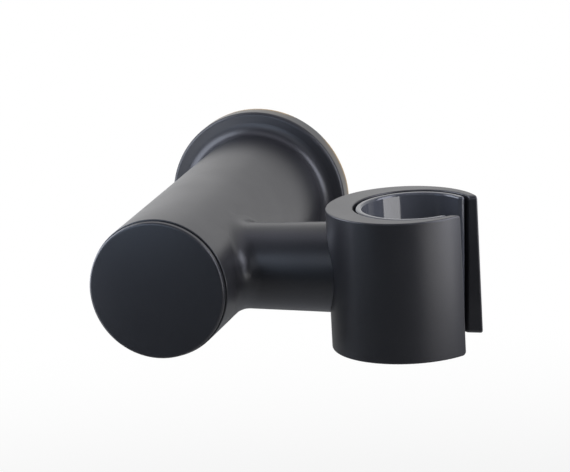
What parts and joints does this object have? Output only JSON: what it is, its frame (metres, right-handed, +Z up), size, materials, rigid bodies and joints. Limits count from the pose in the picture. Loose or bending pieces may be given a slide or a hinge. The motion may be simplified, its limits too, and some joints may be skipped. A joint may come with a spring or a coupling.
{
  "type": "hand shower holder",
  "caption": "Matt black wall holder for a hand shower: a round post on a flange, a short side arm and an upright slotted cup with a tapered plastic liner.",
  "frame": {"origin": "centre of the back face, on the wall and on the post's axis", "axes": "+X along the arm to the cup, +Y into the wall along the post's axis, +Z up along the cup's axis"},
  "size_m": [0.0981, 0.0967, 0.0482],
  "materials": {
    "black_coat": "fine matt black coat on brass",
    "liner_plastic": "polished black moulding",
    "ring_rubber": "matt",
    "stainless": "bright turned",
    "plate_steel": "tumbled"
  },
  "bodies": {
    "root": {"holder_body": "black_coat", "end_cap": "black_coat", "cup": "black_coat", "sleeve": "liner_plastic", "cap_ring": "ring_rubber", "draw_bolt": "stainless", "lock_washer": "stainless", "flat_washer": "stainless", "cup_screw": "stainless", "wall_plate": "plate_steel"}
  },
  "joints": []
}
